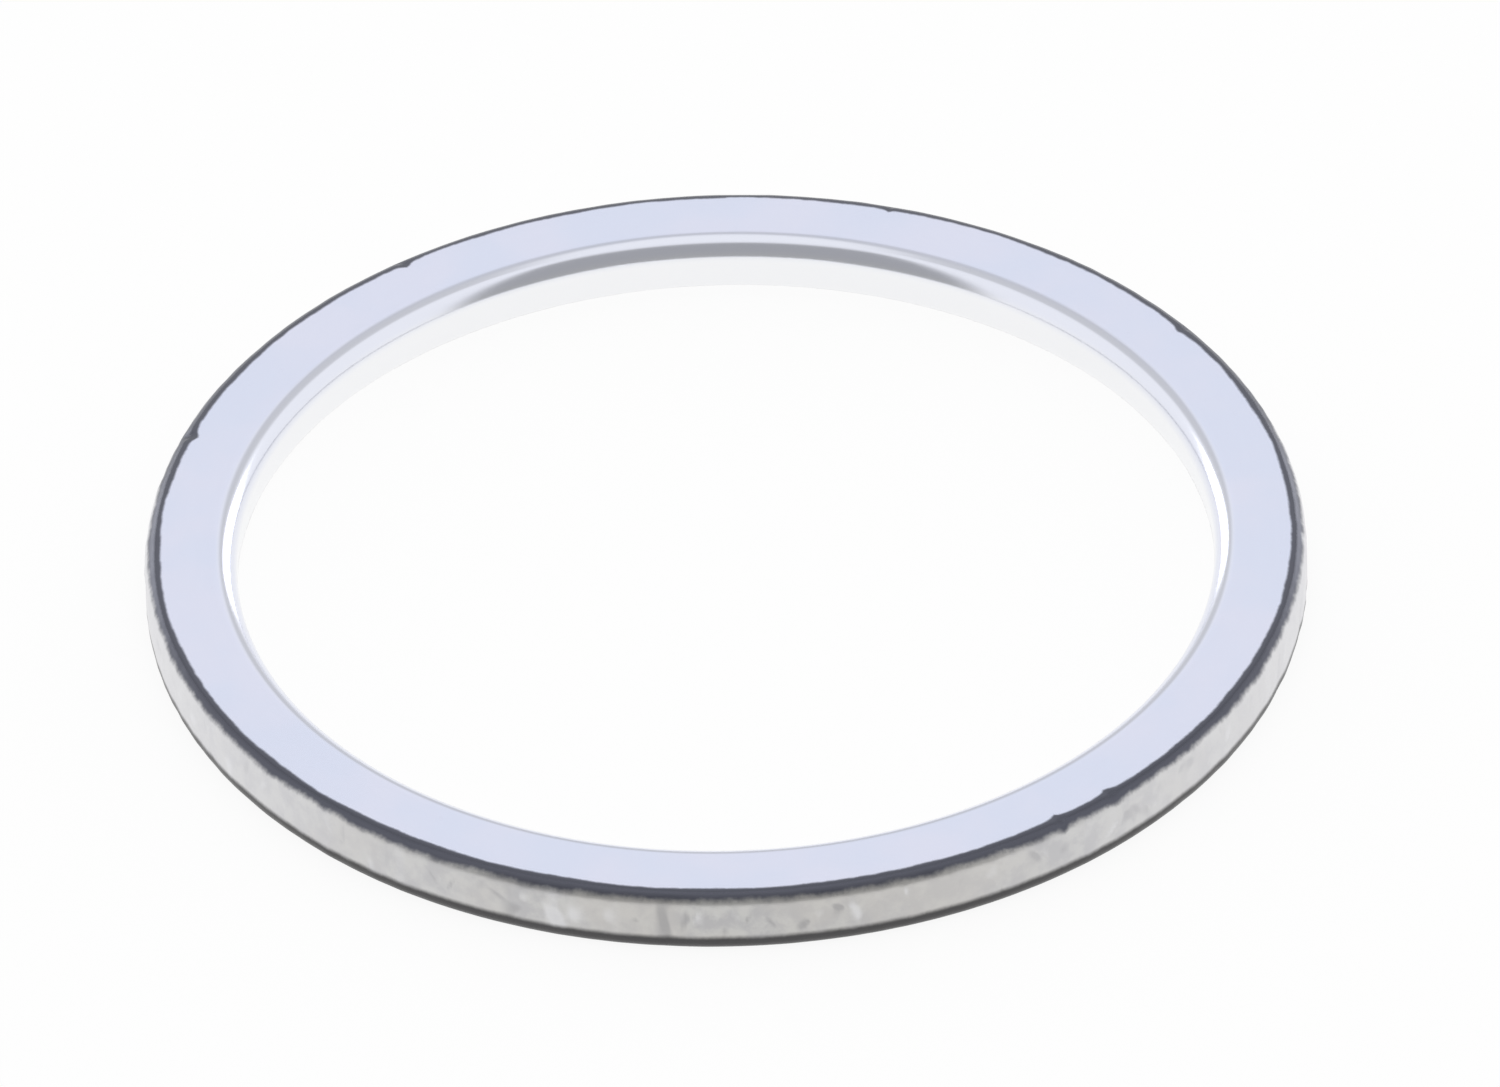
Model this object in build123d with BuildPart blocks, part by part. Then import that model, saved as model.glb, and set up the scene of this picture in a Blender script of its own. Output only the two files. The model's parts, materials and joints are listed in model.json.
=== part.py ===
from build123d import *
import os

# A jacketed spiral wound gasket: a ring of thin sheet metal, folded round a core that is wound
# from a chevron-shaped steel strip and a soft filler strip. Millimetres, +Z up, with the origin
# at the centre of the face that the ring lies on.

# The finished ring
bore_diameter = 73.0  # inside of the ring
ring_width = 7.0  # from the bore wall to the outer wall
inner_fold_radius = 1.9  # outside of the folds beside the bore
outer_fold_radius = 1.2  # outside of the folds at the rim

# The jacket, one sheet whose two edges lap on the lower face
sheet_thickness = 0.2
outer_lip_width = 4.0  # from the outer wall to the free edge of the lip that shows
lap_gap = 0.05  # between the two lips
lip_end_clearance = 0.1  # from the hidden lip's free edge to the bend of the lip over it

# The wound core
winding_height = 4.5
strip_thickness = 0.18
filler_thickness = 0.6
chevron_depth = 0.9  # how far the middle of a turn stands out from its edges
bare_plies = 2  # turns of strip with no filler, where the winding starts and where it ends
ply_gap = 0.02  # between bare plies
core_clearance = 0.05  # between the core and the walls of the jacket

# Levels and radii of the ring
lap_level = sheet_thickness + lap_gap
core_bottom = lap_level + sheet_thickness
core_middle = core_bottom + winding_height / 2
core_top = core_bottom + winding_height
ring_height = core_top + sheet_thickness
bore_radius = bore_diameter / 2
outer_radius = bore_radius + ring_width

# The chevrons point at the rim. Their tips stay clear of the outer wall, and their edges stay on
# the flat of the sheet there, inside the fold.
core_inner_radius = bore_radius + sheet_thickness + core_clearance
tip_limit = outer_radius - sheet_thickness - core_clearance - chevron_depth
edge_limit = min(tip_limit, outer_radius - outer_fold_radius)

# The winding has as many filled turns as there is room for, then bare plies up to its full width
bare_pitch = strip_thickness + ply_gap
filled_pitch = strip_thickness + filler_thickness
winding_room = edge_limit - strip_thickness - core_inner_radius
filled_room = winding_room - 2 * (bare_plies - 1) * bare_pitch
filled_turns = int(filled_room / filled_pitch)
last_plies = bare_plies + int((filled_room - filled_turns * filled_pitch) / bare_pitch)

# The spiral crosses the XZ plane twice a turn, at +X and at -X, further out each time
first_filled = 2 * (bare_plies - 1)
last_filled = first_filled + 2 * filled_turns
crossings = [core_inner_radius]
for half in range(last_filled + 2 * (last_plies - 1)):
    pitch = filled_pitch if first_filled <= half < last_filled else bare_pitch
    crossings.append(crossings[-1] + pitch / 2)


def chevron_half_turn(half, offset, thickness):
    """Half a turn of a bent band, this far outside the strip's own inner surface.

    The half circle's ends are two crossings, so its centre is midway between them. An even half
    turn runs from +X round to -X, and an odd one is the way back, drawn from its end at +X.
    A turn that starts under the folds beside the bore is narrower, to clear them.
    """
    inner_radius = crossings[half + half % 2] + offset
    turn_start = crossings[half - half % 2] + offset
    edge_inset = max(0, core_inner_radius + inner_fold_radius - sheet_thickness - turn_start)
    edge_radius = inner_radius + chevron_depth * edge_inset / (winding_height / 2)
    with BuildSketch(Plane.XZ) as band:
        with BuildLine():
            Polyline(
                (edge_radius, core_bottom + edge_inset),
                (inner_radius + chevron_depth, core_middle),
                (edge_radius, core_top - edge_inset),
                (edge_radius + thickness, core_top - edge_inset),
                (inner_radius + chevron_depth + thickness, core_middle),
                (edge_radius + thickness, core_bottom + edge_inset),
                close=True,
            )
        make_face()
    centre = (crossings[half + 1] - crossings[half]) / 2
    direction = -1 if half % 2 else 1
    axis = Axis((-direction * centre, 0, 0), (0, 0, direction))
    revolve(band.sketch, axis=axis, revolution_arc=180)


with BuildPart() as jacket:
    with BuildSketch(Plane.XZ):
        with BuildLine():
            FilletPolyline(
                (outer_radius - outer_fold_radius - lip_end_clearance, lap_level),
                (bore_radius, lap_level),
                (bore_radius, ring_height),
                (outer_radius, ring_height),
                (outer_radius, 0),
                (outer_radius - outer_lip_width, 0),
                radius=[inner_fold_radius, inner_fold_radius, outer_fold_radius, outer_fold_radius],
            )
            offset(amount=sheet_thickness, side=Side.LEFT)
        make_face()
    revolve(axis=Axis.Z)
jacket.part.label = "jacket"

with BuildPart() as winding_strip:
    for half in range(len(crossings) - 1):
        chevron_half_turn(half, 0, strip_thickness)
winding_strip.part.label = "winding_strip"

with BuildPart() as filler_strip:
    for half in range(first_filled, last_filled - 2):
        chevron_half_turn(half, strip_thickness, filler_thickness)
filler_strip.part.label = "filler_strip"

os.makedirs("parts", exist_ok=True)
export_step(jacket.part, "parts/jacket.step")
export_step(winding_strip.part, "parts/winding_strip.step")
export_step(filler_strip.part, "parts/filler_strip.step")
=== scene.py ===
"""Looks for the jacketed ring gasket: crumpled sheet jacket, satin faces, and rim folds painted near black: a
painted dark reflection on the upper fold, a painted shadow on the lower.
"""

import json
import math

import bpy
import numpy as np
from mathutils import Matrix, Vector


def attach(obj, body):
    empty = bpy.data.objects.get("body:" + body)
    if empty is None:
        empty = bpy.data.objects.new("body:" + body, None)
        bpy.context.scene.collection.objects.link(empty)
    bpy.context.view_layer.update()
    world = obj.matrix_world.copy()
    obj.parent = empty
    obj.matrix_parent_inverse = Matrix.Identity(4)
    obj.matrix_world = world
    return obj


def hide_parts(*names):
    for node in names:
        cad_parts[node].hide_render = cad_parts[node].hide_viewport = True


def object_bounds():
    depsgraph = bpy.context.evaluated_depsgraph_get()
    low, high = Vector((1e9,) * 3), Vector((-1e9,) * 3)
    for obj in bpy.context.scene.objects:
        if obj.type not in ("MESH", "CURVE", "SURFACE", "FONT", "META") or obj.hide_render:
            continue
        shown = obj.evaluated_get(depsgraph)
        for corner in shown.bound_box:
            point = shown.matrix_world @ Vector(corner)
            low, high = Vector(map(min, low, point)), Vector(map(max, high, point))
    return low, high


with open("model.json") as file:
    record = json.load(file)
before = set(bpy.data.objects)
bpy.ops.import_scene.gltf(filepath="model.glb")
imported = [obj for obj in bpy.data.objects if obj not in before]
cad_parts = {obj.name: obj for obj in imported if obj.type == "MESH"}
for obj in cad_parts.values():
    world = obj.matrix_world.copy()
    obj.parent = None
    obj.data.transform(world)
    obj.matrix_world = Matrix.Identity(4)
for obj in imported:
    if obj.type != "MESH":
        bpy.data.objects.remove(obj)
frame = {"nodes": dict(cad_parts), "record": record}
cad_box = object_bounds()

MM = 0.001
RANDOM = np.random.default_rng(20)

# ---------------------------------------------------------------- sizes, read from the frame

MOUNTS = {m["name"]: m for m in frame["record"]["mounts"]}


def wall_span(mount):
    """Radius of a round wall, and the heights at which it starts and ends."""
    half = mount["dims"]["length_mm"] * MM / 2
    return mount["dims"]["r_mm"] * MM, mount["pos_m"][2] - half, mount["pos_m"][2] + half


RING_TOP = cad_box[1].z
BORE_R, BORE_LOW, BORE_HIGH = wall_span(MOUNTS["bore"])
RIM_R, RIM_LOW, RIM_HIGH = wall_span(MOUNTS["rim"])
BORE_FOLD = RING_TOP - BORE_HIGH
RIM_FOLD = RING_TOP - RIM_HIGH
BORE_BEND = BORE_R + BORE_FOLD
RIM_BEND = RIM_R - RIM_FOLD
LAP_LEVEL = BORE_LOW - BORE_FOLD

SHEET = 0.2 * MM
LIP_WIDTH = 4.0 * MM
LIP_END_CLEARANCE = 0.1 * MM

# ---------------------------------------------------------------- the jacket's section


def straight(start, end, normal, steps):
    """Points shared evenly along a straight stretch of the section, with its outward normal."""
    t = np.linspace(0, 1, steps, endpoint=False)[:, None]
    points = np.array(start) * (1 - t) + np.array(end) * t
    return np.hstack([points, np.broadcast_to(normal, points.shape)])


def bend(centre, radius, start, end, steps):
    """Points round a fold of the section: its centre plus the radius along a turning normal."""
    angle = np.radians(np.linspace(start, end, steps, endpoint=False))[:, None]
    normal = np.hstack([np.cos(angle), np.sin(angle)])
    return np.hstack([np.array(centre) + radius * normal, normal])


# The sheet's outer surface as rows of radius, height and outward normal, from the free edge of
# the hidden lip round the bore, over the face, down the rim and back under to the other lip.
EDGE_WIDTH = 1.2 * MM
STRETCHES = {
    "hidden_lip": straight((RIM_BEND - LIP_END_CLEARANCE, LAP_LEVEL), (BORE_BEND, LAP_LEVEL), (0, -1), 2),
    "bore_low_fold": bend((BORE_BEND, BORE_LOW), BORE_FOLD, 270, 180, 6),
    "bore_wall": straight((BORE_R, BORE_LOW), (BORE_R, BORE_HIGH), (-1, 0), 2),
    "bore_fold": bend((BORE_BEND, BORE_HIGH), BORE_FOLD, 180, 90, 9),
    "face": straight((BORE_BEND, RING_TOP), (RIM_BEND - EDGE_WIDTH, RING_TOP), (0, 1), 3),
    "face_edge": straight((RIM_BEND - EDGE_WIDTH, RING_TOP), (RIM_BEND, RING_TOP), (0, 1), 2),
    "rim_fold": bend((RIM_BEND, RIM_HIGH), RIM_FOLD, 90, 0, 8),
    "rim_wall": straight((RIM_R, RIM_HIGH), (RIM_R, RIM_LOW), (1, 0), 11),
    "rim_low_fold": bend((RIM_BEND, RIM_LOW), RIM_FOLD, 0, -90, 5),
    "lip": straight((RIM_BEND, 0), (RIM_R - LIP_WIDTH, 0), (0, -1), 2),
    "lip_edge": np.array([[RIM_R - LIP_WIDTH, 0, 0, -1]]),
}
SECTION = np.vstack(list(STRETCHES.values()))
FIRST_ROW = dict(zip(STRETCHES, np.cumsum([0] + [len(rows) for rows in STRETCHES.values()])))

# Distance along the sheet in mm, from where the rim's upper fold starts and growing down the wall
PATH = np.concatenate([[0], np.cumsum(np.hypot(*np.diff(SECTION[:, :2], axis=0).T))]) / MM
DOWN = PATH - PATH[FIRST_ROW["rim_fold"]]
WALL_START = DOWN[FIRST_ROW["rim_wall"]]
WALL_END = DOWN[FIRST_ROW["rim_low_fold"]]
LIP_START = DOWN[FIRST_ROW["lip"]]
BORE_START = DOWN[FIRST_ROW["face"]]

COLUMNS = 960
TURN = np.arange(COLUMNS) * 2 * np.pi / COLUMNS


def smooth(x, low, high):
    """0 below low, 1 above high and the curve 3t^2 - 2t^3 between."""
    t = np.clip((x - low) / (high - low), 0, 1)
    return t * t * (3 - 2 * t)


def rim_distance(angle):
    """Signed distance in mm round the rim from an angle in degrees, the short way."""
    return ((TURN - math.radians(angle) + np.pi) % (2 * np.pi) - np.pi) * RIM_R / MM


def wave_noise(count, low, high):
    """A sum of sines round the ring, with random whole numbers of waves and random phases."""
    waves = RANDOM.integers(low, high, count)
    phases = RANDOM.uniform(0, 2 * np.pi, count)
    return np.sin(waves[:, None] * TURN + phases[:, None]).sum(axis=0) / math.sqrt(count / 2)


def crease(angle, down, lean, length, width, height):
    """A ridge, or a valley if its height is negative, on the grid of rows and columns.

    A bell curve across the crease times a bell curve along it: exp(-(s/width)^2 - (t/length)^2),
    where t runs down the wall, turned from the vertical by the lean, and s runs across it.
    """
    across, along = rim_distance(angle)[None, :], (DOWN - down)[:, None]
    turn = math.radians(lean)
    t = along * math.cos(turn) + across * math.sin(turn)
    s = across * math.cos(turn) - along * math.sin(turn)
    return height * np.exp(-(s / width) ** 2 - (t / length) ** 2)


def crumples():
    """Relief of the crumpled rim wall in mm, outwards."""
    relief = np.zeros((len(SECTION), COLUMNS))
    count = 210
    angles = RANDOM.uniform(0, 360, count)
    downs = WALL_START + RANDOM.beta(1.2, 2.0, count) * (WALL_END - WALL_START)
    leans = RANDOM.normal(0, 38, count)
    lengths = RANDOM.uniform(0.45, 1.3, count)
    widths = RANDOM.uniform(0.16, 0.6, count)
    heights = RANDOM.choice([-1, -1, 1], count) * RANDOM.uniform(0.02, 0.07, count)
    for values in zip(angles, downs, leans, lengths, widths, heights):
        relief += crease(*values)
    for angle, down, lean, length, width, height in PLEATS:
        relief += crease(angle, down, lean, length, width, -height)
        relief += crease(angle + 0.9, down, lean, length, width, 0.6 * height)
    relief += 0.015 * wave_noise(9, 14, 60) + 0.01 * wave_noise(9, 60, 140)
    return relief


# The deeper pleats: angle, distance down, lean, length, width and depth
PLEATS = [
    (239, 2.7, 35, 0.9, 0.22, 0.07),
    (241, 3.1, -30, 0.9, 0.25, 0.07),
    (246, 2.6, 60, 0.8, 0.25, 0.05),
    (253, 3.0, 10, 1.0, 0.3, 0.05),
    (263, 3.1, 12, 1.2, 0.22, 0.06),
    (265, 2.7, -15, 1.0, 0.2, 0.05),
    (267.5, 3.2, 8, 1.2, 0.2, 0.06),
    (269.5, 2.8, 20, 1.0, 0.2, 0.06),
    (271, 3.0, -25, 0.9, 0.22, 0.05),
    (280, 2.3, 70, 0.6, 0.22, 0.06),
    (284, 2.5, 75, 0.7, 0.2, 0.05),
    (301, 2.4, 40, 0.8, 0.3, 0.07),
    (315, 3.2, 20, 0.9, 0.3, 0.05),
    (206, 2.2, 15, 0.8, 0.3, 0.06),
    (214, 2.2, -20, 0.8, 0.3, 0.06),
    (226, 2.8, 45, 0.8, 0.3, 0.05),
    (20, 2.8, 10, 1.0, 0.3, 0.06),
    (62, 2.6, -20, 1.0, 0.3, 0.06),
    (96, 2.9, 25, 1.0, 0.3, 0.06),
    (131, 2.6, -15, 1.0, 0.3, 0.06),
    (168, 2.8, 20, 1.0, 0.3, 0.06),
]

# Nicks in the rim's upper fold: angle, distance down, lean, length, width and depth
NICKS = [
    (124, 0.3, 20, 0.35, 0.35, 0.14),
    (160, 0.35, -15, 0.4, 0.5, 0.16),
    (304.5, 0.3, 30, 0.4, 0.4, 0.12),
    (311, 0.3, 25, 0.35, 0.35, 0.12),
    (72, 0.3, -20, 0.3, 0.3, 0.08),
    (35, 0.4, 10, 0.35, 0.4, 0.08),
]

CREST = 0.08  # how far a crumple may stand above the wall's mean surface, in mm
SHY = 0.014  # how far the crumpled wall's highest points stay inside the true wall, in mm


def wall_depth(relief):
    """How far each point of the sheet is pressed in from its true place, in mm."""
    loose = smooth(DOWN, 0.1, WALL_START) * (1 - smooth(DOWN, WALL_END, LIP_START - 0.3))
    depth = SHY + loose[:, None] * (CREST - np.clip(relief, -0.095, CREST))
    for nick in NICKS:
        depth = depth + crease(*nick) * (DOWN > -0.6)[:, None]
    return depth


def burnish_edge():
    """Distance in mm by which the painted dark reflection on the rim's upper fold runs up on to the face, round
    the ring.
    """
    edge = 0.03 * wave_noise(12, 8, 60) + 0.008 * wave_noise(12, 60, 200)
    for angle, _, _, _, width, depth in NICKS:
        edge = edge + 3.2 * depth * np.exp(-np.abs(rim_distance(angle)) / (1.3 * width))
    return edge


def ring_mesh(name, sheet_depth, attributes):
    """A closed sheet: the section's outer surface carried round the ring, and its inner one.

    A point at turn a is (r cos a, r sin a, z), where r and z are the section's own, less the
    depth along its normal. The inner surface lies one sheet's thickness further in, row by row
    in reverse, so the rows close on themselves as the columns do.
    """
    place, normal = SECTION[:, None, :2], SECTION[:, None, 2:]
    outer = place - normal * sheet_depth[:, :, None] * MM
    inner = outer - normal * SHEET
    surface = np.concatenate([outer, inner[::-1]])
    radius, height = surface[:, :, 0], surface[:, :, 1]
    points = np.stack([radius * np.cos(TURN), radius * np.sin(TURN), height], axis=-1)
    rows = len(surface)
    row, column = np.meshgrid(np.arange(rows), np.arange(COLUMNS), indexing="ij")
    next_row, next_column = (row + 1) % rows, (column + 1) % COLUMNS
    corners = [(row, column), (row, next_column), (next_row, next_column), (next_row, column)]
    quads = np.stack([r * COLUMNS + c for r, c in corners], axis=-1).reshape(-1, 4)

    mesh = bpy.data.meshes.new(name)
    mesh.vertices.add(rows * COLUMNS)
    mesh.vertices.foreach_set("co", points.ravel())
    mesh.loops.add(quads.size)
    mesh.loops.foreach_set("vertex_index", quads.ravel())
    mesh.polygons.add(len(quads))
    mesh.polygons.foreach_set("loop_start", np.arange(0, quads.size, 4))
    mesh.update(calc_edges=True)
    mesh.polygons.foreach_set("use_smooth", np.ones(len(quads), bool))

    # The map's u runs once round the ring and its v once along the section
    u = np.stack([column, column + 1, column + 1, column], axis=-1) / COLUMNS
    v = np.stack([row, row, row + 1, row + 1], axis=-1) / rows
    mesh.uv_layers.new(name="ring_map").data.foreach_set("uv", np.stack([u, v], axis=-1).ravel())
    for label, values in attributes.items():
        both = np.concatenate([values, values[::-1]])
        mesh.attributes.new(label, "FLOAT", "POINT").data.foreach_set("value", both.ravel())
    piece = bpy.data.objects.new(name, mesh)
    bpy.context.scene.collection.objects.link(piece)
    return piece


# ---------------------------------------------------------------- materials


class Value:
    """A number or vector socket; arithmetic on numbers adds Math nodes to its finish."""

    def __init__(self, finish, socket):
        self.finish, self.socket = finish, socket

    def math(self, operation, *operands):
        node = self.finish.node("ShaderNodeMath", {"operation": operation}, dict(enumerate(operands)))
        return node[0]

    def __add__(self, other):
        return self.math("ADD", self, other)

    def __sub__(self, other):
        return self.math("SUBTRACT", self, other)

    def __rsub__(self, other):
        return self.math("SUBTRACT", other, self)

    def __mul__(self, other):
        return self.math("MULTIPLY", self, other)

    __radd__ = __add__
    __rmul__ = __mul__

    def step(self, low, high):
        """0 below low, 1 above high, smooth between."""
        return self.finish.node("ShaderNodeMapRange", {"interpolation_type": "SMOOTHSTEP"},
                                {"Value": self, "From Min": low, "From Max": high})[0]


class Finish:
    """A material's or a world's node tree, built node by node."""

    def __init__(self, owner):
        self.owner = owner
        owner.use_nodes = True
        self.tree = owner.node_tree
        self.tree.nodes.clear()

    def node(self, kind, settings=None, inputs=None):
        """Adds a node: settings first, then sockets by name or number. Returns its outputs."""
        node = self.tree.nodes.new(kind)
        for key, value in (settings or {}).items():
            if key == "stops":
                ramp = node.color_ramp.elements
                while len(ramp) < len(value):
                    ramp.new(0.5)
                for stop, (position, colour) in zip(ramp, value):
                    stop.position, stop.color = position, (*colour, 1)
            else:
                setattr(node, key, value)
        for key, value in (inputs or {}).items():
            socket = node.inputs[key]
            if isinstance(value, Value):
                self.tree.links.new(value.socket, socket)
            else:
                socket.default_value = value
        return {i: Value(self, s) for i, s in enumerate(node.outputs)} | {
            s.name: Value(self, s) for s in node.outputs if s.enabled}

    def blend(self, factor, first, second):
        """A colour between two colours or colour sockets."""
        def colour(c):
            return c if isinstance(c, Value) else (*c, 1)
        return self.node("ShaderNodeMix", {"data_type": "RGBA"},
                         {0: factor, 6: colour(first), 7: colour(second)})["Result"]

    def noise(self, vector, scale, detail=3.0, roughness=0.5):
        """Noise between 0 and 1 at a scale in features per metre."""
        return self.node("ShaderNodeTexNoise", {"noise_dimensions": "3D"},
                         {"Vector": vector, "Scale": scale, "Detail": detail, "Roughness": roughness})[0]

    def place(self):
        return self.node("ShaderNodeTexCoord")["Object"]

    def attribute(self, name):
        return self.node("ShaderNodeAttribute", {"attribute_name": name})["Fac"]

    def bump(self, height, distance, strength=1.0, normal=None):
        inputs = {"Height": height, "Distance": distance, "Strength": strength}
        if normal:
            inputs["Normal"] = normal
        return self.node("ShaderNodeBump", None, inputs)[0]

    def surface(self, sockets):
        """The surface shader and the output."""
        shader = self.node("ShaderNodeBsdfPrincipled", None, sockets)[0]
        self.node("ShaderNodeOutputMaterial", None, {"Surface": shader})
        return self.owner


def new_finish(name):
    return Finish(bpy.data.materials.new(name))


def ring_coordinates(finish):
    """Radius and height as numbers, and the place with the radius in its X, both in metres."""
    place = finish.place()
    parts = finish.node("ShaderNodeSeparateXYZ", None, {0: place})
    flat = finish.node("ShaderNodeCombineXYZ", None, {0: parts[0], 1: parts[1]})[0]
    radius = finish.node("ShaderNodeVectorMath", {"operation": "LENGTH"}, {0: flat})["Value"]
    return place, radius, parts[2]


def jacket_finish():
    finish = new_finish("jacket_sheet")
    place, radius, height = ring_coordinates(finish)
    down = finish.attribute("down")
    edge = finish.attribute("burnish_edge")
    grit = finish.noise(place, 2600, 4)
    cloud = finish.noise(place, 130, 3)
    blotch = finish.noise(place, 560, 4, 0.6)

    # Brushing: noise drawn out round the ring, by reading it at the radius and a slow turn
    grooves = finish.node("ShaderNodeCombineXYZ", None, {0: radius * 9000, 1: height * 900, 2: cloud * 3})[0]
    brushing = finish.noise(grooves, 1, 3, 0.7)

    face = finish.blend(cloud.step(0.35, 0.65), FACE_COOL, FACE_WARM)
    face = finish.blend(brushing * 0.12, face, FACE_LINE)
    # Painted reflection: the bore is painted lighter towards its foot, standing in for the white floor it mirrors
    # there.
    bore = finish.blend(down.step(BORE_START - 2.9, BORE_START - 1.7), BORE_FOOT_REFLECTION, BORE_UPPER)
    colour = finish.blend(down.step(BORE_START - 0.8, BORE_START - 0.2), bore, face)

    wall = finish.blend(blotch.step(0.36, 0.64), WALL_DARK, WALL_LIGHT)
    wall = finish.blend(cloud.step(0.4, 0.6) * 0.5, wall, WALL_WARM)
    relief = finish.attribute("relief")
    # Painted shade darkens the crumples' valleys and a painted highlight lightens their crests.
    wall = finish.blend((relief * -1 + blotch * 0.03).step(0.035, 0.09) * 0.7, wall, WALL_CREASE_SHADE)
    wall = finish.blend((relief + blotch * 0.03).step(0.03, 0.1) * 0.55, wall, WALL_CREST_HIGHLIGHT)
    # Painted sheen: the rim wall is painted lighter towards its left and right sides.
    aside = finish.node("ShaderNodeSeparateXYZ", None, {0: place})[0] * (1 / RIM_R)
    wall = finish.blend(aside * aside * 0.8, wall, WALL_SIDE_SHEEN)
    wall_mask = down.step(0.25, 0.75)
    colour = finish.blend(wall_mask, colour, wall)

    rag = (grit - 0.5) * 0.1 + (blotch - 0.5) * 0.2
    # Painted dark reflection: the rim's upper fold and the face's outer edge are painted near black, with less
    # metallic, standing in for the dark room the fold mirrors.
    up_side = (down + edge + rag).step(-0.16, 0.1)
    low_side = (down - edge + rag * 3).step(0.75, 1.35)
    dark_reflection_mask = up_side * (1 - low_side)
    colour = finish.blend(dark_reflection_mask, colour, FOLD_DARK_REFLECTION)
    # Painted shadow: the rim's lower fold is painted near black, with less metallic, standing in for the shaded
    # floor at the ring's foot that the fold mirrors.
    foot_shadow_mask = (down + rag).step(WALL_END - 0.5, WALL_END + 0.05) * (1 - down.step(LIP_START - 0.1, LIP_START + 0.5))
    colour = finish.blend(foot_shadow_mask, colour, FOOT_PAINTED_SHADOW)

    polish = down.step(BORE_START - 0.4, BORE_START + 0.2)
    rough = 0.13 + polish * 0.09 + brushing * 0.06 + wall_mask * 0.1 + (grit - 0.5) * 0.08
    normal = finish.bump(brushing, 0.004 * MM, 0.5)
    normal = finish.bump(blotch * wall_mask, 0.06 * MM, 0.6, normal)
    normal = finish.bump(grit * wall_mask, 0.01 * MM, 0.5, normal)
    return finish.surface({"Base Color": colour, "Metallic": 1 - dark_reflection_mask * 0.35 - foot_shadow_mask * 0.3,
                           "Roughness": rough, "Normal": normal})


FACE_COOL = (0.70, 0.74, 0.885)
FACE_WARM = (0.73, 0.75, 0.885)
FACE_LINE = (0.64, 0.67, 0.81)
BORE_UPPER = (0.79, 0.81, 0.90)
# painted reflection of the white floor, low in the bore
BORE_FOOT_REFLECTION = (0.92, 0.925, 0.94)
WALL_DARK = (0.50, 0.495, 0.50)
WALL_LIGHT = (0.60, 0.595, 0.58)
WALL_WARM = (0.60, 0.58, 0.55)
# painted shade in the crumples' valleys
WALL_CREASE_SHADE = (0.36, 0.355, 0.36)
# painted highlight on the crumples' crests
WALL_CREST_HIGHLIGHT = (0.80, 0.80, 0.82)
# painted sheen on the rim wall's sides
WALL_SIDE_SHEEN = (0.82, 0.82, 0.85)
# painted dark reflection on the rim's upper fold
FOLD_DARK_REFLECTION = (0.105, 0.11, 0.14)
# painted shadow on the rim's lower fold
FOOT_PAINTED_SHADOW = (0.08, 0.078, 0.08)


def strip_finish():
    """Cold rolled steel strip: fine rolling lines and a faint tarnish."""
    finish = new_finish("rolled_strip")
    place, radius, height = ring_coordinates(finish)
    lines = finish.node("ShaderNodeCombineXYZ", None, {0: radius * 200, 1: height * 12000})[0]
    rolling = finish.noise(lines, 1, 2)
    tarnish = finish.noise(place, 260, 3)
    colour = finish.blend(tarnish.step(0.4, 0.7), (0.56, 0.56, 0.57), (0.44, 0.43, 0.41))
    return finish.surface({"Base Color": colour, "Metallic": 1.0, "Roughness": 0.24 + rolling * 0.2,
                           "Normal": finish.bump(rolling, 0.004 * MM, 0.5)})


def filler_finish():
    """Soft graphite tape: nearly black, with pressed flakes that catch a little light."""
    finish = new_finish("graphite_tape")
    place = finish.place()
    flakes = finish.node("ShaderNodeTexVoronoi", {"feature": "F1"}, {"Vector": place, "Scale": 2600.0})
    haze = finish.noise(place, 900, 4)
    colour = finish.blend(haze, (0.03, 0.03, 0.032), (0.075, 0.075, 0.08))
    return finish.surface({"Base Color": colour, "Metallic": 0.0, "Roughness": 0.45 + flakes[0] * 0.3,
                           "Normal": finish.bump(flakes[0] + haze, 0.02 * MM, 0.6)})


# ---------------------------------------------------------------- the pieces

# Where the painted dark reflection on the rim's upper fold ends on the face, for each column
column_values = np.broadcast_to(burnish_edge(), (len(SECTION), COLUMNS))
row_values = np.broadcast_to(DOWN[:, None], (len(SECTION), COLUMNS))
relief = crumples()
labels = {"down": row_values, "burnish_edge": column_values, "relief": relief}
jacket = ring_mesh("jacket_folded", wall_depth(relief), labels)
jacket.data.materials.append(jacket_finish())
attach(jacket, "root")
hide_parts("jacket")

for node, finish in (("winding_strip", strip_finish()), ("filler_strip", filler_finish())):
    frame["nodes"][node].data.materials.clear()
    frame["nodes"][node].data.materials.append(finish)

# ---------------------------------------------------------------- stage, light and camera

VIEW_ELEVATION = math.radians(37.6)


def make_floor():
    """A white floor. It keeps the ring's shadow, thinned, and glossy metal sees it as white."""
    side = 3.0
    mesh = bpy.data.meshes.new("floor")
    mesh.from_pydata([(-side, -side, 0), (side, -side, 0), (side, side, 0), (-side, side, 0)], [], [(0, 1, 2, 3)])
    floor = bpy.data.objects.new("floor", mesh)
    bpy.context.scene.collection.objects.link(floor)
    finish = new_finish("white_floor")
    rays = finish.node("ShaderNodeLightPath")
    seen = rays["Is Camera Ray"].math("MAXIMUM", rays["Is Camera Ray"], rays["Is Glossy Ray"])
    seen = seen.math("MAXIMUM", seen, rays["Is Transmission Ray"])
    paper = finish.node("ShaderNodeBsdfDiffuse", None, {"Color": (0.9, 0.9, 0.9, 1)})[0]
    glow = finish.node("ShaderNodeEmission", None, {"Color": (1, 1, 1, 1), "Strength": 1.02})[0]
    mixed = finish.node("ShaderNodeMixShader", None, {0: seen * 0.9, 1: paper, 2: glow})[0]
    finish.node("ShaderNodeOutputMaterial", None, {"Surface": mixed})
    mesh.materials.append(finish.owner)


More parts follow.
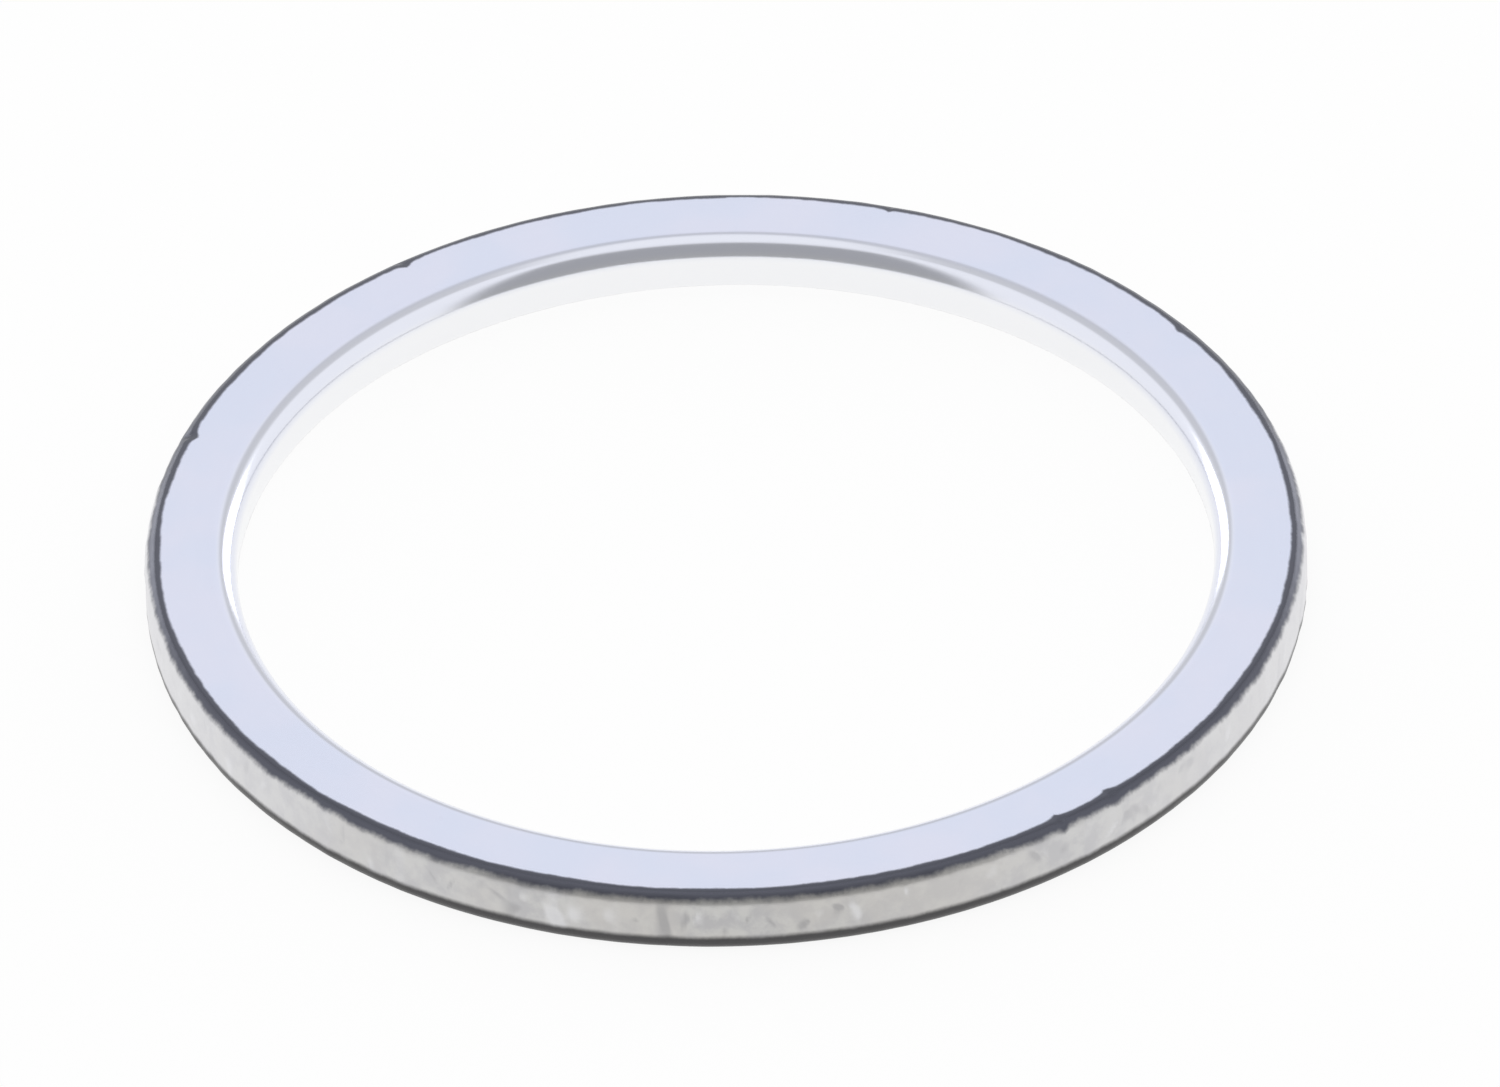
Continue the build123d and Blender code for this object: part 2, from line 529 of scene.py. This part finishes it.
def make_world():
    """Even white light with a bright panel at the far side, a grey gap round it, and a dim front.

    The panel faces the viewer's own mirror direction over a level face. The dim part is the
    room in front of the tent, over the viewer, from the floor to well overhead.
    """
    world = bpy.data.worlds.new("studio")
    bpy.context.scene.world = world
    finish = Finish(world)
    way = finish.node("ShaderNodeTexCoord")["Generated"]
    parts = finish.node("ShaderNodeSeparateXYZ", None, {0: way})
    flat = finish.node("ShaderNodeCombineXYZ", None, {0: parts[0], 1: parts[1]})[0]
    level = finish.node("ShaderNodeVectorMath", {"operation": "LENGTH"}, {0: flat})["Value"]
    towards = parts[1].math("DIVIDE", parts[1] * -1, level + 0.001)
    room = towards.step(0.44, 0.64) * parts[2].step(-0.02, 0.03) * (1 - parts[2].step(0.86, 0.95))
    mirror = (0, math.cos(VIEW_ELEVATION), math.sin(VIEW_ELEVATION))
    near_panel = finish.node("ShaderNodeVectorMath", {"operation": "DOT_PRODUCT"}, {0: way, 1: mirror})["Value"]
    spread = near_panel + parts[2].math("MAXIMUM", parts[2] - 0.5, 0) * 0.5
    gap = (1 - near_panel.step(0.9, 0.97)) * spread.step(0.70, 0.84) * (1 - parts[2].step(0.93, 0.975))
    rays = finish.node("ShaderNodeLightPath")
    strength = 1 - (room * 0.58 + gap * 0.32) * (1 - rays["Is Camera Ray"])
    sky = finish.node("ShaderNodeBackground", None, {"Color": (1, 1, 1, 1), "Strength": strength})[0]
    finish.node("ShaderNodeOutputWorld", None, {"Surface": sky})


def softbox(name, azimuth, elevation, distance, size, radiance):
    """A square lamp that faces the ring from a direction; its power follows from its radiance."""
    lamp = bpy.data.lights.new(name, "AREA")
    lamp.shape, lamp.size = "SQUARE", size
    lamp.energy = radiance * math.pi * size * size
    box = bpy.data.objects.new(name, lamp)
    a, e = math.radians(azimuth), math.radians(elevation)
    way = Vector((math.cos(a) * math.cos(e), math.sin(a) * math.cos(e), math.sin(e)))
    box.location = way * distance
    box.rotation_euler = way.to_track_quat("Z", "Y").to_euler()
    bpy.context.scene.collection.objects.link(box)


def make_camera():
    """A very long lens, so the ring is seen almost without perspective, rolled a little."""
    elevation, roll = VIEW_ELEVATION, math.radians(-1.58)
    frame_width = 2.5760 * RIM_R
    aside, above = 0.0424 * RIM_R, -0.0086 * RIM_R
    camera = bpy.data.objects.new("camera", bpy.data.cameras.new("camera"))
    camera.data.lens, camera.data.sensor_width = 800, 36
    camera.data.clip_end = 20
    back = Vector((0, -math.cos(elevation), math.sin(elevation)))
    right = Vector((1, 0, 0))
    up = back.cross(right)
    right, up = (right * math.cos(roll) + up * math.sin(roll), up * math.cos(roll) - right * math.sin(roll))
    distance = frame_width * camera.data.lens / camera.data.sensor_width
    place = Vector((0, 0, RING_TOP)) + back * distance + right * aside + up * above
    camera.matrix_world = Matrix.Translation(place) @ Matrix((right, up, back)).transposed().to_4x4()
    bpy.context.scene.collection.objects.link(camera)
    bpy.context.scene.camera = camera


make_floor()
make_world()
softbox("left_box", 128, 12, 0.9, 0.35, 2.0)
softbox("right_box", 52, 12, 0.9, 0.35, 2.0)
make_camera()
bpy.context.scene.view_settings.view_transform = "Standard"
